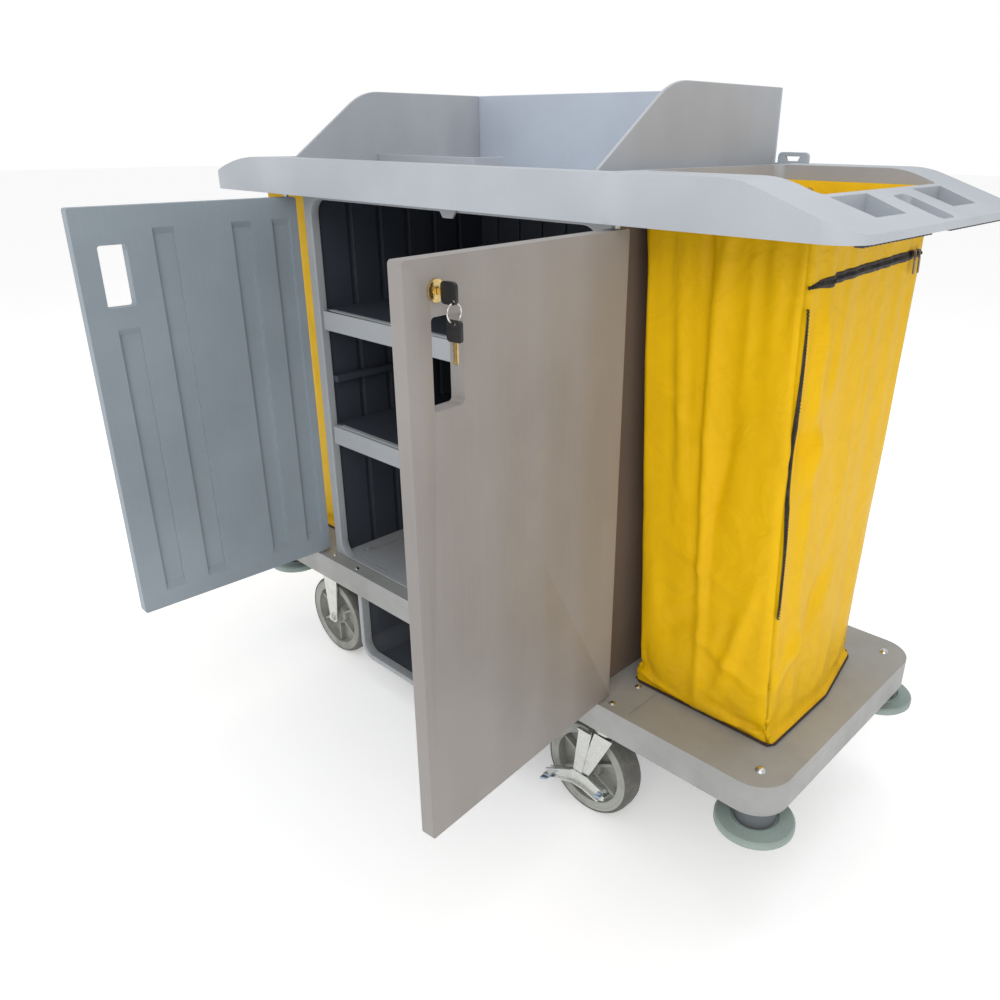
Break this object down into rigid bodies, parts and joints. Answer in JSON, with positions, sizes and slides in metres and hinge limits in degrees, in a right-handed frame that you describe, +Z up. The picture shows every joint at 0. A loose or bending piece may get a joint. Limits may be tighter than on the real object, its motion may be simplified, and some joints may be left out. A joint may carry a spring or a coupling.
{
  "type": "housekeeping cart",
  "caption": "Two-door housekeeping cart with a long top tray and hood, hanging bags at the ends, a low bin, and fixed and swivelling casters.",
  "frame": {"origin": "on the floor, under the middle of the cart's overall box as it stands with both doors open", "axes": "+X along the cart towards the cup end, -Y out of the cabinet's front, +Z up"},
  "size_m": [1.47, 0.9931, 1.296],
  "materials": {
    "light_plastic": "satin",
    "panel_plastic": "satin",
    "door_plastic": "satin",
    "slate_plastic": "satin",
    "grip_rubber": "matt",
    "bumper_rubber": "matt",
    "hub_plastic": "satin",
    "bumper_hub": "satin",
    "tread": "matt",
    "zinc_steel": "zinc plated",
    "brass_lock": "satin",
    "key_black": "satin",
    "ring_steel": "bright",
    "seal_rubber": "matt",
    "yellow_vinyl": "coated cloth"
  },
  "bodies": {
    "cart": {"base_deck": "light_plastic", "deck_screws": "zinc_steel", "floor_pan": "light_plastic", "lower_bin": "slate_plastic", "bin_rim": "light_plastic", "bumper_hubs": "bumper_hub", "bumper_bolts": "zinc_steel", "caster_bolts": "zinc_steel", "swivel_plates": "zinc_steel", "bearing_seals": "seal_rubber", "fixed_forks": "zinc_steel", "fixed_axles": "zinc_steel", "cabinet_frame": "light_plastic", "side_panels": "panel_plastic", "back_panel": "panel_plastic", "wall_liners": "slate_plastic", "shelf_cleats": "slate_plastic", "shelf_lower": "slate_plastic", "shelf_upper": "slate_plastic", "shelf_lips": "light_plastic", "top_tray": "light_plastic", "end_grips": "grip_rubber", "tray_divider": "light_plastic", "strike_tab": "light_plastic", "hanger_loop": "light_plastic", "hood_sides": "light_plastic", "hood_back": "light_plastic", "bag_right": "yellow_vinyl", "bag_left": "yellow_vinyl", "bag_snaps": "zinc_steel"},
    "left_door": {"door_left": "door_plastic", "door_pins_left": "zinc_steel"},
    "right_door": {"door_right": "door_plastic", "door_pins_right": "zinc_steel", "lock_barrel": "brass_lock"},
    "lock": {"lock_plug": "brass_lock", "lock_cam": "zinc_steel", "key_in_lock": "key_black"},
    "ring": {"key_ring": "ring_steel"},
    "loose_key": {"spare_key": "key_black"},
    "swivel_caster_front": {"swivel_fork_front": "zinc_steel", "swivel_axle_front": "zinc_steel"},
    "swivel_caster_rear": {"swivel_fork_rear": "zinc_steel", "swivel_axle_rear": "zinc_steel"},
    "pedal_front": {"brake_pedal_front": "zinc_steel"},
    "pedal_rear": {"brake_pedal_rear": "zinc_steel"},
    "zip_front": {"zip_slider_front": "zinc_steel"},
    "zip_rear": {"zip_slider_rear": "zinc_steel"},
    "wheel_front_left": {"wheel_hub_front_left": "hub_plastic", "tread_front_left": "tread"},
    "bumper_front_left": {"bumper_disc_front_left": "bumper_rubber"},
    "wheel_front_right": {"wheel_hub_front_right": "hub_plastic", "tread_front_right": "tread"},
    "bumper_front_right": {"bumper_disc_front_right": "bumper_rubber"},
    "wheel_rear_left": {"wheel_hub_rear_left": "hub_plastic", "tread_rear_left": "tread"},
    "bumper_rear_left": {"bumper_disc_rear_left": "bumper_rubber"},
    "wheel_rear_right": {"wheel_hub_rear_right": "hub_plastic", "tread_rear_right": "tread"},
    "bumper_rear_right": {"bumper_disc_rear_right": "bumper_rubber"}
  },
  "joints": [
    {"name": "left_door_hinge", "type": "hinge", "parent": "cart", "child": "left_door", "pos_m": [-0.487, -0.07161, 0.7], "axis": [0, 0, 1], "range_deg": [-78.2, 91.8]},
    {"name": "right_door_hinge", "type": "hinge", "parent": "cart", "child": "right_door", "pos_m": [0.367, -0.07161, 0.7], "axis": [0, 0, 1], "range_deg": [-94.8, 75.2]},
    {"name": "lock_turn", "type": "hinge", "parent": "right_door", "child": "lock", "pos_m": [0.39855, -0.44728, 1.061], "axis": [0.9965, 0.0837, 0], "range_deg": [0, 90]},
    {"name": "ring_swing", "type": "hinge", "parent": "lock", "child": "ring", "pos_m": [0.43741, -0.44402, 1.052], "axis": [0.0837, -0.9965, 0], "range_deg": [-10, 30]},
    {"name": "key_swing", "type": "hinge", "parent": "ring", "child": "loose_key", "pos_m": [0.43741, -0.44402, 1.0274], "axis": [0.0837, -0.9965, 0], "range_deg": [-8, 30]},
    {"name": "swivel_front", "type": "hinge", "parent": "cart", "child": "swivel_caster_front", "pos_m": [0.365, -0.01861, 0.215], "axis": [0, 0, 1], "continuous": true},
    {"name": "wheel_spin_front_right", "type": "hinge", "parent": "swivel_caster_front", "child": "wheel_front_right", "pos_m": [0.32, -0.01861, 0.1], "axis": [0, 1, 0], "continuous": true},
    {"name": "brake_front", "type": "hinge", "parent": "swivel_caster_front", "child": "pedal_front", "pos_m": [0.32, -0.01861, 0.1], "axis": [0, 1, 0], "range_deg": [-10, 6]},
    {"name": "wheel_spin_front_left", "type": "hinge", "parent": "cart", "child": "wheel_front_left", "pos_m": [-0.505, -0.01861, 0.1], "axis": [0, 1, 0], "continuous": true},
    {"name": "bumper_turn_front_left", "type": "hinge", "parent": "cart", "child": "bumper_front_left", "pos_m": [-0.67, -0.03861, 0.2], "axis": [0, 0, 1], "continuous": true},
    {"name": "bumper_turn_front_right", "type": "hinge", "parent": "cart", "child": "bumper_front_right", "pos_m": [0.67, -0.03861, 0.2], "axis": [0, 0, 1], "continuous": true},
    {"name": "swivel_rear", "type": "hinge", "parent": "cart", "child": "swivel_caster_rear", "pos_m": [0.365, 0.4114, 0.215], "axis": [0, 0, 1], "continuous": true},
    {"name": "wheel_spin_rear_right", "type": "hinge", "parent": "swivel_caster_rear", "child": "wheel_rear_right", "pos_m": [0.32, 0.4114, 0.1], "axis": [0, 1, 0], "continuous": true},
    {"name": "brake_rear", "type": "hinge", "parent": "swivel_caster_rear", "child": "pedal_rear", "pos_m": [0.32, 0.4114, 0.1], "axis": [0, 1, 0], "range_deg": [-10, 6]},
    {"name": "wheel_spin_rear_left", "type": "hinge", "parent": "cart", "child": "wheel_rear_left", "pos_m": [-0.505, 0.4114, 0.1], "axis": [0, 1, 0], "continuous": true},
    {"name": "bumper_turn_rear_left", "type": "hinge", "parent": "cart", "child": "bumper_rear_left", "pos_m": [-0.67, 0.43139, 0.2], "axis": [0, 0, 1], "continuous": true},
    {"name": "bumper_turn_rear_right", "type": "hinge", "parent": "cart", "child": "bumper_rear_right", "pos_m": [0.67, 0.43139, 0.2], "axis": [0, 0, 1], "continuous": true},
    {"name": "zip_slide_front", "type": "slide", "parent": "cart", "child": "zip_front", "axis": [0, 1, 0], "range_m": [-0.3, 0.003]},
    {"name": "zip_slide_rear", "type": "slide", "parent": "cart", "child": "zip_rear", "axis": [0, 1, 0], "range_m": [-0.003, 0.008]}
  ]
}
